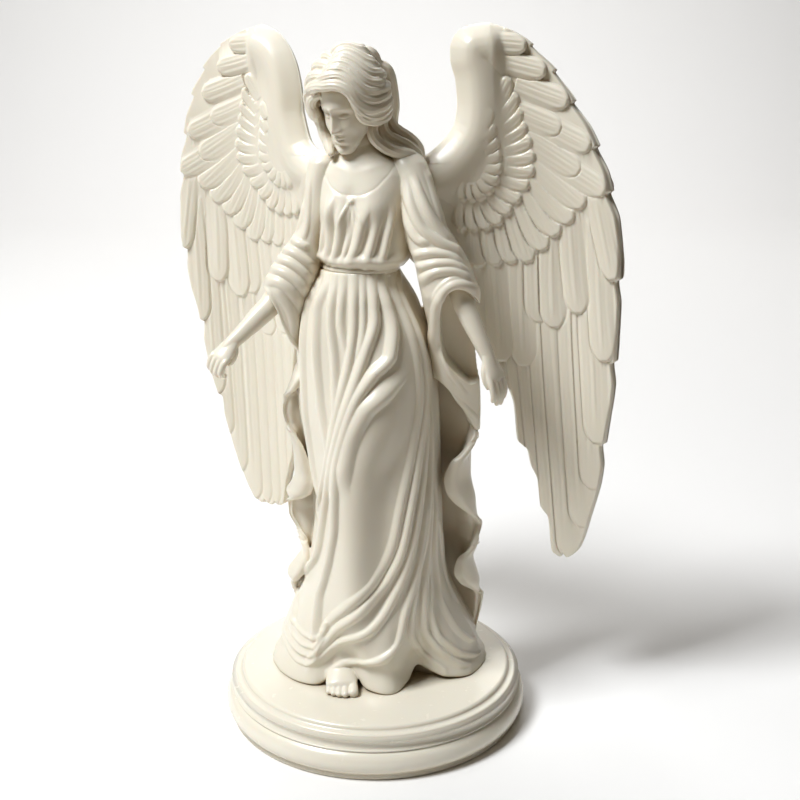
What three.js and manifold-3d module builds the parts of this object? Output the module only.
// A standing winged figure in a long robe on a round plinth, cast in ivory resin.
// Millimetres, +Z up. The origin is the middle of the plinth's underside and the figure looks towards -Y.
// The figure with its wings and mantle is one casting. The plinth is a second casting below it.

import * as THREE from "three";
import Module from "manifold-3d";
import { ParametricGeometry } from "three/addons/geometries/ParametricGeometry.js";
import { mergeVertices } from "three/addons/utils/BufferGeometryUtils.js";

const wasm = await Module();
wasm.setup();

// Driving dimensions of the plinth
const PLINTH_HEIGHT = 22;
const PLINTH_TOP_RADIUS = 61.4;
const PLINTH_STEP_RADIUS = 64.7;
const PLINTH_FOOT_RADIUS = 68.9;
const PLINTH_SEGMENTS = 40;
const JOINT_GAP = 0.3;

// Driving dimensions of the robe, by height above the floor
const HEM_Z = PLINTH_HEIGHT + JOINT_GAP;
const BELT_Z = 204;
const ROBE_STATIONS = [22, 50, 75, 100, 125, 150, 170, 190, 204];
const ROBE_LEFT = [-40, -35, -28.5, -26, -29, -32.1, -32, -28.7, -22.3];
const ROBE_RIGHT = [44, 36, 30.5, 29.2, 28.3, 27.2, 24.6, 18.2, 10.6];
const ROBE_FRONT = [31, 30, 29, 28, 25.5, 23, 21, 18, 14.5];
const ROBE_BACK = [38, 31, 27, 24, 22, 21, 19.5, 17, 13];
const HEM_FLARE_START = 66;

// The hem's outline on the plinth: reach from its middle, by angle turned from the front to +X
const HEM_CENTRE = [2, 2];
const HEM_ANGLES = [-180, -130, -98, -80, -62, -47, -36, -22, -4, 12, 32, 46, 62, 84, 105, 135, 180];
const HEM_REACH = [36, 42, 48, 48, 46, 42, 31, 30, 34, 34, 27, 34, 45, 48, 47, 42, 36];

// The robe's raised folds seen from the front: height, half width, then heights above the floor and x places
const FOLDS = [
  { rise: 1.6, half: 3.4, z: [112, 148, 170, 200], x: [-24, -29.5, -30, -23.5] },
  { rise: 1.7, half: 3.4, z: [118, 150, 172, 200], x: [-17, -22.3, -24.1, -19.6] },
  { rise: 1.5, half: 3.2, z: [140, 168, 185, 200], x: [-14.5, -16.1, -17.6, -16.2] },
  { rise: 2.2, half: 3.8, z: [92, 120, 152, 185, 200], x: [-27, -19.4, -13.4, -8, -7.9] },
  { rise: 2.2, half: 4.2, z: [50, 88, 130, 156, 187, 200], x: [-28, -19.5, -14.5, -8.7, 0.2, -0.5] },
  { rise: 2.2, half: 3.6, z: [45, 79, 121, 152, 172, 198], x: [-27, -19.2, -14.2, -7.5, 5.5, 3.6] },
  { rise: 2.0, half: 3.8, z: [34, 50, 73, 108, 150, 184, 199], x: [-28, -20.8, -0.1, 11.7, 18.2, 13.1, 8.2] },
  { rise: 2.0, half: 3.6, z: [28, 44, 64, 98, 149], x: [-30, -13.4, 7.2, 18.2, 21.7] },
  { rise: 2.0, half: 3.4, z: [24, 38, 58, 92, 148], x: [-24, 1.9, 12.9, 21.8, 23.9] },
  { rise: 2.2, half: 4.0, z: [22, 31, 50, 87, 140], x: [46, 34.1, 20.9, 23.2, 25.2] },
];
const THIGH = { rise: 4.5, half: 11, z: [30, 68, 113, 148, 176], x: [-8, -9, -9.5, 0, 9] };
const BACK_FLUTES = 9;
const BACK_FLUTE_DEPTH = 1.6;

// Driving dimensions of the body above the belt
const TURN = THREE.MathUtils.degToRad(20);
const CHEST_CENTRE = new THREE.Vector3(-4, 0, 0);
const CHEST_STATIONS = [200, 205, 209, 214, 228, 238, 246, 250, 253];
const CHEST_HALF_WIDTH = [16, 16.8, 19.8, 20.8, 19.8, 20.5, 18, 12, 8];
const CHEST_HALF_DEPTH = [12, 12.5, 14.4, 15, 15.8, 14, 11, 8.5, 7.5];
const HEAD_CENTRE = new THREE.Vector3(-9, -4, 270.5);
const HEAD_YAW = THREE.MathUtils.degToRad(-35);
const HEAD_PITCH = THREE.MathUtils.degToRad(20);
const HEAD_HALF = new THREE.Vector3(10.6, 12.6, 16.6);
const NECK_RADIUS = 7.4;
const BELT_HALF_WIDTH = 16.6;
const BELT_HALF_DEPTH = 13.2;
const BELT_UNDERSIDE_Z = 201;
const BELT_TOP_Z = 206;
const BELT_BULGE = 1.3;
const NECK_TOP_Z = 253;
const BLOUSE_PLEATS = 8;
const BLOUSE_PLEAT_DEPTH = 0.7;

// The hair's cap over the skull, in head coordinates
const HAIR_MIDDLE_Y = 4.5;
const HAIR_MIDDLE_Z = 5;
const HAIR_HALF = new THREE.Vector3(14, 14.5, 15.5);
const HAIR_WAVES = 7;
const HAIR_WAVE_DEPTH = 0.03;

// Driving dimensions of the mantle
const MANTLE_THICKNESS = 2.6;
const LEFT_MANTLE_TOP_Z = 180;
const RIGHT_MANTLE_TOP_Z = 190;

// Driving dimensions of the wings: a vertical sheet bent in plan, cut to an outline
const WING_ROOT = [20, 14];
const WING_SPAN = 90;
const WING_HEADING_START = THREE.MathUtils.degToRad(40);
const WING_HEADING_END = THREE.MathUtils.degToRad(-15);
const WING_LEAN = -0.06;
const WING_LEAN_Z = 190;
const WING_OUTER_STATIONS = [70, 90, 130, 172, 208, 237, 263, 284, 297, 303.5];
const LEFT_WING_OUTER = [64, 75, 83, 88.4, 90.5, 86.3, 76.5, 64, 51, 36];
const RIGHT_WING_OUTER = [58, 68.7, 77.7, 83.8, 88.2, 85, 79.2, 69.8, 54, 36];
const WING_INNER_STATIONS = [70, 92, 121, 140, 165, 190, 215, 243, 251, 262, 280, 297, 303.5];
const WING_INNER = [56, 48.5, 42, 39, 28, 14, -7, -7, 9, 19, 20, 21.5, 32];
const WING_TOP_Z = 303.5;
const LEFT_WING_TIP_Z = 68;
const RIGHT_WING_TIP_Z = 76;
const WING_BONE_THICKNESS = 9;
const WING_BONE_WIDTH = 16;
const WING_PLATE_THICKNESS = 3.4;
const FEATHER_FAN = [25, 247];

const ivory = { color: 0xe9e2d0, roughness: 0.35, metalness: 0 };

// A smooth curve through values at rising stations, flat beyond its ends
function through(stations, values) {
  const last = stations.length - 1;
  const rate = stations.slice(1).map((s, i) => (values[i + 1] - values[i]) / (s - stations[i]));
  const slope = stations.map((s, i) => {
    if (i === 0) return rate[0];
    if (i === last) return rate[last - 1];
    return rate[i - 1] * rate[i] <= 0 ? 0 : (2 * rate[i - 1] * rate[i]) / (rate[i - 1] + rate[i]);
  });
  return (s) => {
    if (s <= stations[0]) return values[0];
    if (s >= stations[last]) return values[last];
    const i = stations.findIndex((next) => next > s) - 1;
    const step = stations[i + 1] - stations[i];
    const t = (s - stations[i]) / step;
    const rise = values[i + 1] - values[i];
    const ease = rise * t * t * (3 - 2 * t);
    const bend = step * t * (1 - t) * ((1 - t) * slope[i] - t * slope[i + 1]);
    return values[i] + ease + bend;
  };
}

const smoothstep = THREE.MathUtils.smoothstep;
const lerp = THREE.MathUtils.lerp;

// The closed solid of a mesh whose faces may point either way
function solidOf(geometry) {
  geometry.deleteAttribute("normal");
  geometry.deleteAttribute("uv");
  const merged = mergeVertices(geometry, 1e-4);
  const index = merged.index.array;
  const corners = merged.attributes.position.array;
  const corner = (i) => new THREE.Vector3().fromArray(corners, 3 * i);
  const faces = [];
  let volume = 0;
  for (let i = 0; i < index.length; i += 3) {
    const [a, b, c] = index.slice(i, i + 3);
    if (a === b || b === c || c === a) continue;
    faces.push(a, b, c);
    volume += corner(a).dot(corner(b).cross(corner(c)));
  }
  if (volume < 0) faces.reverse();
  return new wasm.Manifold(
    new wasm.Mesh({ numProp: 3, vertProperties: corners, triVerts: new Uint32Array(faces) }),
  );
}

// A closed skin of rings: place(u, v) runs round with u and along with v, and each end closes on its middle
function skin(around, along, place) {
  const middle = (v) => {
    const sum = new THREE.Vector3();
    for (let i = 0; i < around; i += 1) sum.add(place(i / around, v));
    return sum.divideScalar(around);
  };
  const rows = along + 2;
  const ends = [middle(0), middle(1)];
  const shape = (u, v, target) => {
    const row = Math.round(v * rows);
    const turn = Math.round(u * around) % around;
    if (row === 0) target.copy(ends[0]);
    else if (row === rows) target.copy(ends[1]);
    else target.copy(place(turn / around, (row - 1) / along));
  };
  return solidOf(new ParametricGeometry(shape, around, rows));
}

// A limb of oval rings along a smooth path: each stop is [x, y, z, half width, half depth]
function limb(stops, facing, around, along) {
  const path = new THREE.CatmullRomCurve3(stops.map(([x, y, z]) => new THREE.Vector3(x, y, z)));
  const places = stops.map((stop, i) => i / (stops.length - 1));
  const width = through(places, stops.map((stop) => stop[3]));
  const depth = through(places, stops.map((stop) => stop[4]));
  return skin(around, along, (u, v) => {
    const tangent = path.getTangent(v);
    const side = new THREE.Vector3().crossVectors(tangent, facing).normalize();
    const front = new THREE.Vector3().crossVectors(side, tangent);
    const turn = 2 * Math.PI * u;
    return path
      .getPoint(v)
      .addScaledVector(side, width(v) * Math.cos(turn))
      .addScaledVector(front, depth(v) * Math.sin(turn));
  });
}

// Chest coordinates to the model's: the figure above the hips is turned to its right
function fromChest(x, y, z) {
  return new THREE.Vector3(
    CHEST_CENTRE.x + x * Math.cos(TURN) + y * Math.sin(TURN),
    CHEST_CENTRE.y - x * Math.sin(TURN) + y * Math.cos(TURN),
    z,
  );
}

// How far a fold stands out at a place: a parabola across the fold, faded at both its ends
function foldRise(fold, line, x, z) {
  const first = fold.z[0];
  const last = fold.z[fold.z.length - 1];
  const fade = smoothstep(z, first - 14, first + 4) * (1 - smoothstep(z, last, last + 8));
  const slope = (line(z + 1) - line(z - 1)) / 2;
  const across = (x - line(z)) / Math.sqrt(1 + slope * slope) / fold.half;
  return fold.rise * fade * Math.max(0, 1 - across * across);
}

// The robe from belt to hem: oval rings that flare into the hem's outline, with folds carved in front
function robe() {
  const left = through(ROBE_STATIONS, ROBE_LEFT);
  const right = through(ROBE_STATIONS, ROBE_RIGHT);
  const front = through(ROBE_STATIONS, ROBE_FRONT);
  const back = through(ROBE_STATIONS, ROBE_BACK);
  const hem = through(HEM_ANGLES, HEM_REACH);
  const lines = FOLDS.map((fold) => through(fold.z, fold.x));
  const thighLine = through(THIGH.z, THIGH.x);
  return skin(38, 13, (u, v) => {
    const z = lerp(BELT_Z, HEM_Z, v);
    const turn = 2 * Math.PI * u - 0.5 * Math.sin(2 * Math.PI * u);
    const angle = turn > Math.PI ? turn - 2 * Math.PI : turn;
    const sine = Math.sin(angle);
    const cosine = Math.cos(angle);
    const halfWidth = (right(z) - left(z)) / 2;
    const halfDepth = cosine > 0 ? front(z) : back(z);
    const oval = 1 / Math.hypot(sine / halfWidth, cosine / halfDepth);
    const flare = Math.pow(1 - smoothstep(z, HEM_Z - 6, HEM_FLARE_START), 1.3);
    const middleX = lerp((left(z) + right(z)) / 2, HEM_CENTRE[0], flare);
    let reach = lerp(oval, hem(THREE.MathUtils.radToDeg(angle)), flare);
    const x = middleX + reach * sine;
    if (cosine > 0) {
      const rises = FOLDS.map((fold, i) => foldRise(fold, lines[i], x, z));
      reach += (Math.max(...rises) + foldRise(THIGH, thighLine, x, z)) * smoothstep(cosine, 0, 0.3);
    } else {
      reach += BACK_FLUTE_DEPTH * Math.cos(2 * BACK_FLUTES * angle) * smoothstep(-cosine, 0, 0.3);
    }
    return new THREE.Vector3(middleX + reach * sine, HEM_CENTRE[1] * flare - reach * cosine, z);
  });
}

// The blouse from the belt to the base of the neck, with soft pleats gathered above the belt
function blouse() {
  const width = through(CHEST_STATIONS, CHEST_HALF_WIDTH);
  const depth = through(CHEST_STATIONS, CHEST_HALF_DEPTH);
  return skin(24, 7, (u, v) => {
    const z = lerp(CHEST_STATIONS[0], NECK_TOP_Z, v);
    const turn = 2 * Math.PI * u;
    const pleat = BLOUSE_PLEAT_DEPTH * Math.cos(BLOUSE_PLEATS * turn) * smoothstep(z, 204, 210) * (1 - smoothstep(z, 222, 236));
    const x = (width(z) + pleat) * Math.sin(turn);
    const y = -(depth(z) + pleat) * Math.cos(turn);
    return fromChest(x, y, z);
  });
}

// The belt, a rounded band
function belt() {
  return skin(20, 2, (u, v) => {
    const turn = 2 * Math.PI * u;
    const bulge = BELT_BULGE * Math.sin(Math.PI * lerp(0.2, 0.8, v));
    const x = (BELT_HALF_WIDTH + bulge) * Math.sin(turn);
    const y = -(BELT_HALF_DEPTH + bulge) * Math.cos(turn);
    return fromChest(x, y, lerp(BELT_UNDERSIDE_Z, BELT_TOP_Z, v));
  });
}

// Head coordinates to the model's: y back, x to the figure's left, z up, before the head is turned and bowed
function fromHead(x, y, z) {
  const point = new THREE.Vector3(x, y, z);
  point.applyAxisAngle(new THREE.Vector3(1, 0, 0), HEAD_PITCH);
  point.applyAxisAngle(new THREE.Vector3(0, 0, 1), HEAD_YAW);
  return point.add(HEAD_CENTRE);
}

// The head: an egg with a plain nose, and the neck below it
function head() {
  const egg = skin(14, 8, (u, v) => {
    const turn = 2 * Math.PI * u;
    const rise = Math.cos(Math.PI * lerp(0.04, 0.96, v));
    const ring = Math.sqrt(1 - rise * rise);
    const jaw = rise < 0 ? 1 - 0.3 * rise * rise : 1;
    const x = HEAD_HALF.x * ring * jaw * Math.sin(turn);
    const y = -HEAD_HALF.y * ring * Math.cos(turn) + (rise < 0 ? -1.5 * rise * rise : 0);
    return fromHead(x, y, HEAD_HALF.z * rise);
  });
  const nose = skin(6, 1, (u, v) => {
    const turn = 2 * Math.PI * u;
    const size = lerp(0.7, 1.9, v);
    return fromHead(size * Math.sin(turn), -11.6 - 1.6 * v - size * Math.cos(turn), lerp(2.5, -4.5, v));
  });
  const neck = limb(
    [
      [-4, 1, 244, 9.5, 9],
      [-4, 0, 251, NECK_RADIUS, NECK_RADIUS],
      [-5, 0, 258, 7, 7],
      [-7, 0, 266, 7, 7],
    ],
    new THREE.Vector3(0, 1, 0),
    10,
    3,
  );
  return [egg, nose, neck];
}

// The hair: a full cap set back from the brow and long locks that fall behind and over the left shoulder
function hair() {
  const cap = skin(14, 7, (u, v) => {
    const turn = 2 * Math.PI * u;
    const rise = Math.cos(Math.PI * lerp(0.04, 0.96, v));
    const ring = Math.sqrt(1 - rise * rise);
    const wave = 1 + HAIR_WAVE_DEPTH * Math.cos(HAIR_WAVES * turn + 5 * rise);
    const x = HAIR_HALF.x * ring * wave * Math.sin(turn);
    const y = HAIR_MIDDLE_Y - HAIR_HALF.y * ring * wave * Math.cos(turn);
    return fromHead(x, y, HAIR_MIDDLE_Z + HAIR_HALF.z * rise);
  });
  const locks = [
    [[-17, -4, 284, 5, 5], [-22.5, -7, 274, 4.6, 5], [-21, -7, 266, 3.6, 4], [-17.5, -4, 258, 2.6, 2.6]],
    [[0, -8, 280, 6, 5], [5, -6, 268, 6, 5.5], [12, 0, 258, 6, 5], [19, 3, 251, 3.4, 3.4]],
    [[2, 6, 276, 7, 7], [6, 9, 264, 8, 7], [8, 10, 252, 8, 6], [8, 12, 240, 4, 3.5]],
    [[-8, 10, 276, 8, 7], [-6, 13, 262, 9, 7], [-5, 13, 248, 9, 6], [-4, 15, 234, 4, 3.5]],
    [[-17, 5, 272, 6, 6], [-17, 8, 262, 6, 5], [-15, 10, 250, 6, 5], [-13, 14, 240, 3, 3]],
  ];
  return [cap, ...locks.map((stops) => limb(stops, new THREE.Vector3(0, 1, 0), 6, 5))];
}

// A hand: a palm and five tapering fingers, set out from the wrist along its own axes
function hand(wrist, along, across, side, curl) {
  const down = along.clone().normalize();
  const palmNormal = new THREE.Vector3().crossVectors(across, down).normalize();
  const spread = new THREE.Vector3().crossVectors(down, palmNormal).normalize();
  const at = (x, y, z) =>
    wrist.clone().addScaledVector(spread, x).addScaledVector(palmNormal, y).addScaledVector(down, z).toArray();
  const stop = (place, width, depth) => [...at(...place), width, depth];
  const palm = limb(
    [stop([0, 0, -4], 3.2, 2.8), stop([0, 0, 2], 3.8, 2.6), stop([0, 0, 8], 5, 2.4), stop([0, 0, 12], 4.6, 2)],
    palmNormal,
    8,
    2,
  );
  const fingers = [-3.6, -1.2, 1.2, 3.5].map((x, i) => {
    const length = [8.5, 10.5, 11, 8][i];
    return limb(
      [
        stop([x, 0, 9.5], 1.4, 1.4),
        stop([x * 1.05, curl * 0.25 * length, 10 + length * 0.6], 1.3, 1.3),
        stop([x * 1.05, curl * 0.8 * length, 10 + length], 0.8, 0.8),
      ],
      palmNormal,
      5,
      2,
    );
  });
  const thumb = limb(
    [stop([side * 3, 0, 2], 1.8, 1.8), stop([side * 6, 1, 6.5], 1.6, 1.6), stop([side * 6.6, 2, 12], 0.9, 0.9)],
    palmNormal,
    5,
    2,
  );
  return [palm, thumb, ...fingers];
}

// Both arms: a full sleeve over the upper arm, a bare forearm and a hand
function arms() {
  const facing = new THREE.Vector3(0, 1, 0);
  const leftSleeve = limb(
    [
      [12, -4, 243, 8, 9],
      [18, -6, 236, 8.5, 9.5],
      [22.5, -7, 222, 8.5, 9.5],
      [28, -9, 208, 11, 10.5],
      [34, -12, 196, 10.5, 9],
      [36, -13, 190, 9, 7],
    ],
    facing,
    12,
    6,
  );
  const rightSleeve = limb(
    [
      [-20, 6, 243, 8, 9],
      [-25, 7, 234, 7, 9],
      [-29, 6, 219, 7.5, 9],
      [-34, 5, 206, 10, 9.5],
      [-39, 3, 192, 10.5, 9],
      [-38, 3, 180, 8, 7],
    ],
    facing,
    12,
    6,
  );
  const leftForearm = limb(
    [
      [33, -12, 204, 5.2, 5.2],
      [38, -15, 190, 4.9, 4.8],
      [44, -18, 177, 3.6, 3.4],
      [47, -19, 172, 3.2, 2.8],
    ],
    facing,
    8,
    3,
  );
  const rightForearm = limb(
    [
      [-36, 4, 202, 5.2, 5.2],
      [-46, 1, 190, 4.8, 4.8],
      [-57, -4, 176.5, 3.4, 3.4],
      [-60, -5, 173, 3, 2.8],
    ],
    facing,
    8,
    3,
  );
  const leftHand = hand(
    new THREE.Vector3(46, -19, 174),
    new THREE.Vector3(7, -3, -20),
    new THREE.Vector3(0.9, 0.45, 0),
    -1,
    0.35,
  );
  const rightHand = hand(
    new THREE.Vector3(-58.5, -4.5, 175),
    new THREE.Vector3(-11, -6, -13),
    new THREE.Vector3(0.6, -0.75, 0),
    1,
    0.5,
  );
  return [leftSleeve, rightSleeve, leftForearm, rightForearm, ...leftHand, ...rightHand];
}

// A bare foot that shows below the hem
function foot() {
  const sole = limb(
    [
      [-13, -10, 30, 6, 7],
      [-14, -22, 28, 6, 5.2],
      [-15, -31, 26.2, 6.6, 3.6],
      [-15.5, -36, 25.2, 5.6, 2.5],
    ],
    new THREE.Vector3(0, 0, 1),
    10,
    4,
  );
  const floor = skin(4, 1, (u, v) => {
    const turn = 2 * Math.PI * (u + 0.125);
    return new THREE.Vector3(-14 + 40 * Math.sin(turn), -25 + 40 * Math.cos(turn), lerp(HEM_Z - 20, HEM_Z, v));
  });
  return sole.subtract(floor);
}

// One hanging edge of the mantle: each level runs out from the robe and curls forward by an amount that swings
function drape(anchor, width, side, curlStations, curls, topZ) {
  const curl = through(curlStations, curls);
  const steps = 4;
  return skin(2 * steps + 2, 13, (u, v) => {
    const z = lerp(HEM_Z, topZ, v);
    const sheet = (s) => {
      const point = new THREE.Vector3(anchor.x(z), anchor.y(z), z);
      const count = 12;
      const reach = width(z) * s;
      for (let i = 0; i < count; i += 1) {
        const heading = curl(z) * Math.pow(((i + 0.5) / count) * s, 0.8);
        point.x += (side * Math.cos(heading) * reach) / count;
        point.y -= (Math.sin(heading) * reach) / count;
      }
      return point;
    };
    const slot = Math.round(u * (2 * steps + 2));
    const outward = slot <= steps;
    const s = outward ? slot / steps : (2 * steps + 1 - slot) / steps;
    const heading = curl(z) * Math.pow(s, 0.8);
    const normal = new THREE.Vector3(side * Math.sin(heading), Math.cos(heading), 0);
    return sheet(s).addScaledVector(normal, (outward ? 0.5 : -0.5) * MANTLE_THICKNESS);
  });
}

// The mantle's two falling edges at the sides of the robe and its plain fall behind
function mantle() {
  const leftEdge = drape(
    { x: through([22, 60, 120, 170, 200], [26, 22, 20, 18, 14]), y: through([22, 120, 200], [13, 11, 6]) },
    through([22, 60, 120, 160, 190], [30, 30, 29, 30, 22]),
    1,
    [22, 40, 50, 67, 87, 112, 135, 170, 195],
    [0.6, 0.2, 0.3, 2.6, 0.3, 2.6, 0.3, 2.5, 1.6],
    LEFT_MANTLE_TOP_Z,
  );
  const rightEdge = drape(
    { x: through([22, 60, 100, 160, 196], [-24, -20, -17, -22, -22]), y: through([22, 120, 196], [16, 14, 9]) },
    through([22, 60, 100, 150, 190], [22, 20, 22, 20, 20]),
    -1,
    [22, 44, 62, 78, 98, 122, 144, 165, 190],
    [0.5, 1.6, 0.3, 2.2, 0.3, 2.2, 0.3, 1.4, 0.8],
    RIGHT_MANTLE_TOP_Z,
  );
  return [leftEdge, rightEdge];
}

// A place on a wing's sheet: a along it in plan from the shoulder blade, z its height, lift off its front
function onWing(side, a, z, lift) {
  const turnRate = (WING_HEADING_END - WING_HEADING_START) / WING_SPAN;
  const heading = WING_HEADING_START + turnRate * a;
  const x = WING_ROOT[0] + (Math.sin(heading) - Math.sin(WING_HEADING_START)) / turnRate;
  const y = WING_ROOT[1] - (Math.cos(heading) - Math.cos(WING_HEADING_START)) / turnRate;
  const point = fromChest(side * (x + lift * Math.sin(heading)), y - lift * Math.cos(heading), z);
  point.x += WING_LEAN * (z - WING_LEAN_Z);
  return point;
}

// One feather as a thin leaf between two places on the wing's chart
function feather(side, from, to, halfWidth, lift, onChart) {
  const length = Math.hypot(to[0] - from[0], to[1] - from[1]);
  const along = [(to[0] - from[0]) / length, (to[1] - from[1]) / length];
  const width = through([0, 0.35, 0.8, 1], [0.75, 1, 0.8, 0.35]);
  return skin(4, 2, (u, v) => {
    const turn = 2 * Math.PI * u;
    const across = halfWidth * width(v) * Math.cos(turn);
    const rise = lift + 1.1 * Math.sin(turn) - 0.4 * v;
    const a = from[0] + along[0] * length * v - along[1] * across;
    const z = from[1] + along[1] * length * v + along[0] * across;
    return onChart(a, z, rise);
  });
}

// One wing: the plate with its thick leading edge, then tiers of overlapping feathers on its front
function wing(side) {
  const tip = side > 0 ? LEFT_WING_TIP_Z : RIGHT_WING_TIP_Z;
  const outer = through(WING_OUTER_STATIONS, side > 0 ? LEFT_WING_OUTER : RIGHT_WING_OUTER);
  const inner = through(WING_INNER_STATIONS, WING_INNER);
  const stretch = (WING_TOP_Z - tip) / (WING_TOP_Z - LEFT_WING_TIP_Z);
  const onChart = (a, z, lift) => onWing(side, a, WING_TOP_Z - (WING_TOP_Z - z) * stretch, lift);
  const steps = 5;
  const plate = skin(2 * steps + 2, 17, (u, v) => {
    const z = lerp(LEFT_WING_TIP_Z, WING_TOP_Z, Math.sin((Math.PI / 2) * v));
    const slot = Math.round(u * (2 * steps + 2));
    const front = slot <= steps;
    const s = front ? slot / steps : (2 * steps + 1 - slot) / steps;
    const a = lerp(inner(z), outer(z), s);
    const fromEdge = Math.min(a - inner(z), 0.8 * (WING_TOP_Z - z) + 2);
    const bone = Math.max(0, 1 - Math.pow(fromEdge / WING_BONE_WIDTH - 0.35, 2) / 0.42);
    const upper = smoothstep(z, 205, 245);
    const thickness = WING_PLATE_THICKNESS + (WING_BONE_THICKNESS - WING_PLATE_THICKNESS) * bone * upper;
    return onChart(a, z, (front ? 0.5 : -0.5) * thickness);
  });
  const parts = [plate];
  const tiers = [
    { count: 6, from: 14, to: 30, start: 58, half: 6, lift: 2.2 },
    { count: 5, from: 31, to: 48, start: 50, half: 8.4, lift: 1.7 },
  ];
  for (const tier of tiers) {
    for (let i = 0; i < tier.count; i += 1) {
      const place = i / (tier.count - 1);
      const angle = THREE.MathUtils.degToRad(lerp(tier.start, -96, place));
      const grow = 1 + 0.25 * Math.max(0, Math.sin(angle));
      const reach = (radius) => [
        FEATHER_FAN[0] + radius * Math.cos(angle),
        FEATHER_FAN[1] + radius * grow * Math.sin(angle),
      ];
      parts.push(feather(side, reach(tier.from), reach(tier.to), tier.half, tier.lift, onChart));
    }
  }
  const longTips = [
    [66, 285, 49, 291], [72, 273, 53, 283], [80, 255, 60, 270], [86.5, 236, 66, 258], [90.5, 200, 74, 240],
    [83, 164, 76, 212], [65, 181, 62, 218], [79.5, 124, 78, 170],
  ];
  for (const [a, z, fromA, fromZ] of longTips) {
    parts.push(feather(side, [fromA, fromZ], [a, z], 5.2, 1.2, onChart));
  }
  return parts;
}

// A mesh with its material from a joined solid
function meshOf(solid, name, finish) {
  const mesh = solid.getMesh();
  const geometry = new THREE.BufferGeometry();
  geometry.setAttribute("position", new THREE.BufferAttribute(new Float32Array(mesh.vertProperties), 3));
  geometry.setIndex(new THREE.BufferAttribute(new Uint32Array(mesh.triVerts), 1));
  geometry.computeVertexNormals();
  const part = new THREE.Mesh(geometry, new THREE.MeshStandardMaterial(finish));
  part.name = name;
  return part;
}

// The plinth: a turned disc with a step under its top and a hollow moulding above a round foot
function plinth() {
  const arc = (centreX, centreY, radius, from, to, count) =>
    Array.from({ length: count + 1 }, (unused, i) => {
      const angle = THREE.MathUtils.degToRad(lerp(from, to, i / count));
      return new THREE.Vector2(centreX + radius * Math.cos(angle), centreY + radius * Math.sin(angle));
    });
  const profile = [
    new THREE.Vector2(0, 0),
    new THREE.Vector2(PLINTH_FOOT_RADIUS - 2.5, 0),
    ...arc(PLINTH_FOOT_RADIUS - 5.2, 6.2, 5.2, -70, 55, 4),
    ...arc(PLINTH_STEP_RADIUS + 2.6, 14.6, 3.4, 230, 140, 2),
    new THREE.Vector2(PLINTH_STEP_RADIUS - 0.6, 19.6),
    new THREE.Vector2(PLINTH_TOP_RADIUS, 20),
    new THREE.Vector2(PLINTH_TOP_RADIUS - 1, PLINTH_HEIGHT),
    new THREE.Vector2(0, PLINTH_HEIGHT),
  ];
  const turned = new THREE.LatheGeometry(profile, PLINTH_SEGMENTS);
  turned.rotateX(Math.PI / 2);
  return solidOf(turned);
}

const pieces = [
  robe(),
  blouse(),
  belt(),
  ...head(),
  ...hair(),
  ...arms(),
  foot(),
  ...mantle(),
  ...wing(1),
  ...wing(-1),
];
const joined = pieces.reduce((whole, piece) => whole.add(piece));
// The outer shell alone, so that pockets closed between the joined forms are solid resin
const figure = joined.decompose().reduce((best, shell) => (shell.volume() > best.volume() ? shell : best));

const angelStatue = new THREE.Group();
angelStatue.add(meshOf(figure, "angel_figure", ivory));
angelStatue.add(meshOf(plinth(), "plinth", ivory));

export default angelStatue;
